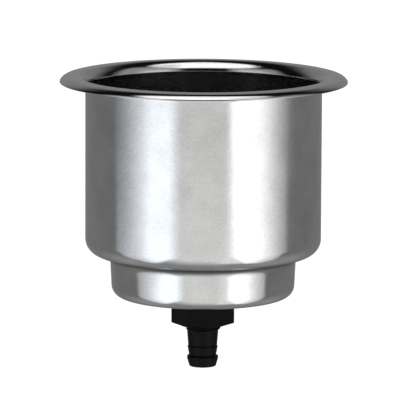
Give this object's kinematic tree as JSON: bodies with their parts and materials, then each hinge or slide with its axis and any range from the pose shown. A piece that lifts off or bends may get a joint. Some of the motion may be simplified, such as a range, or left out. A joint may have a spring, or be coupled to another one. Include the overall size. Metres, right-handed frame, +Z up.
{
  "type": "recessed drink holder",
  "caption": "Drop-in steel cup holder with a domed flange, a stepped base and a threaded drain spigot held by a hexagonal nut.",
  "frame": {"origin": "on the cup's axis, in the plane of the flange lip's lower edge, which is the top of the panel that the holder hangs in", "axes": "+Z up the cup's axis and out of its mouth; X and Y lie in the panel, with -Y the side that the picture shows"},
  "size_m": [0.1096, 0.1096, 0.1121],
  "materials": {
    "cup_steel": "polished drawn stainless steel, satin inside",
    "black_plastic": "moulded black nylon",
    "seal_rubber": "moulded black rubber"
  },
  "bodies": {
    "root": {"cup": "cup_steel", "drain_spigot": "black_plastic", "drain_nut": "black_plastic", "drain_gasket": "seal_rubber", "nut_washer": "seal_rubber"}
  },
  "joints": []
}
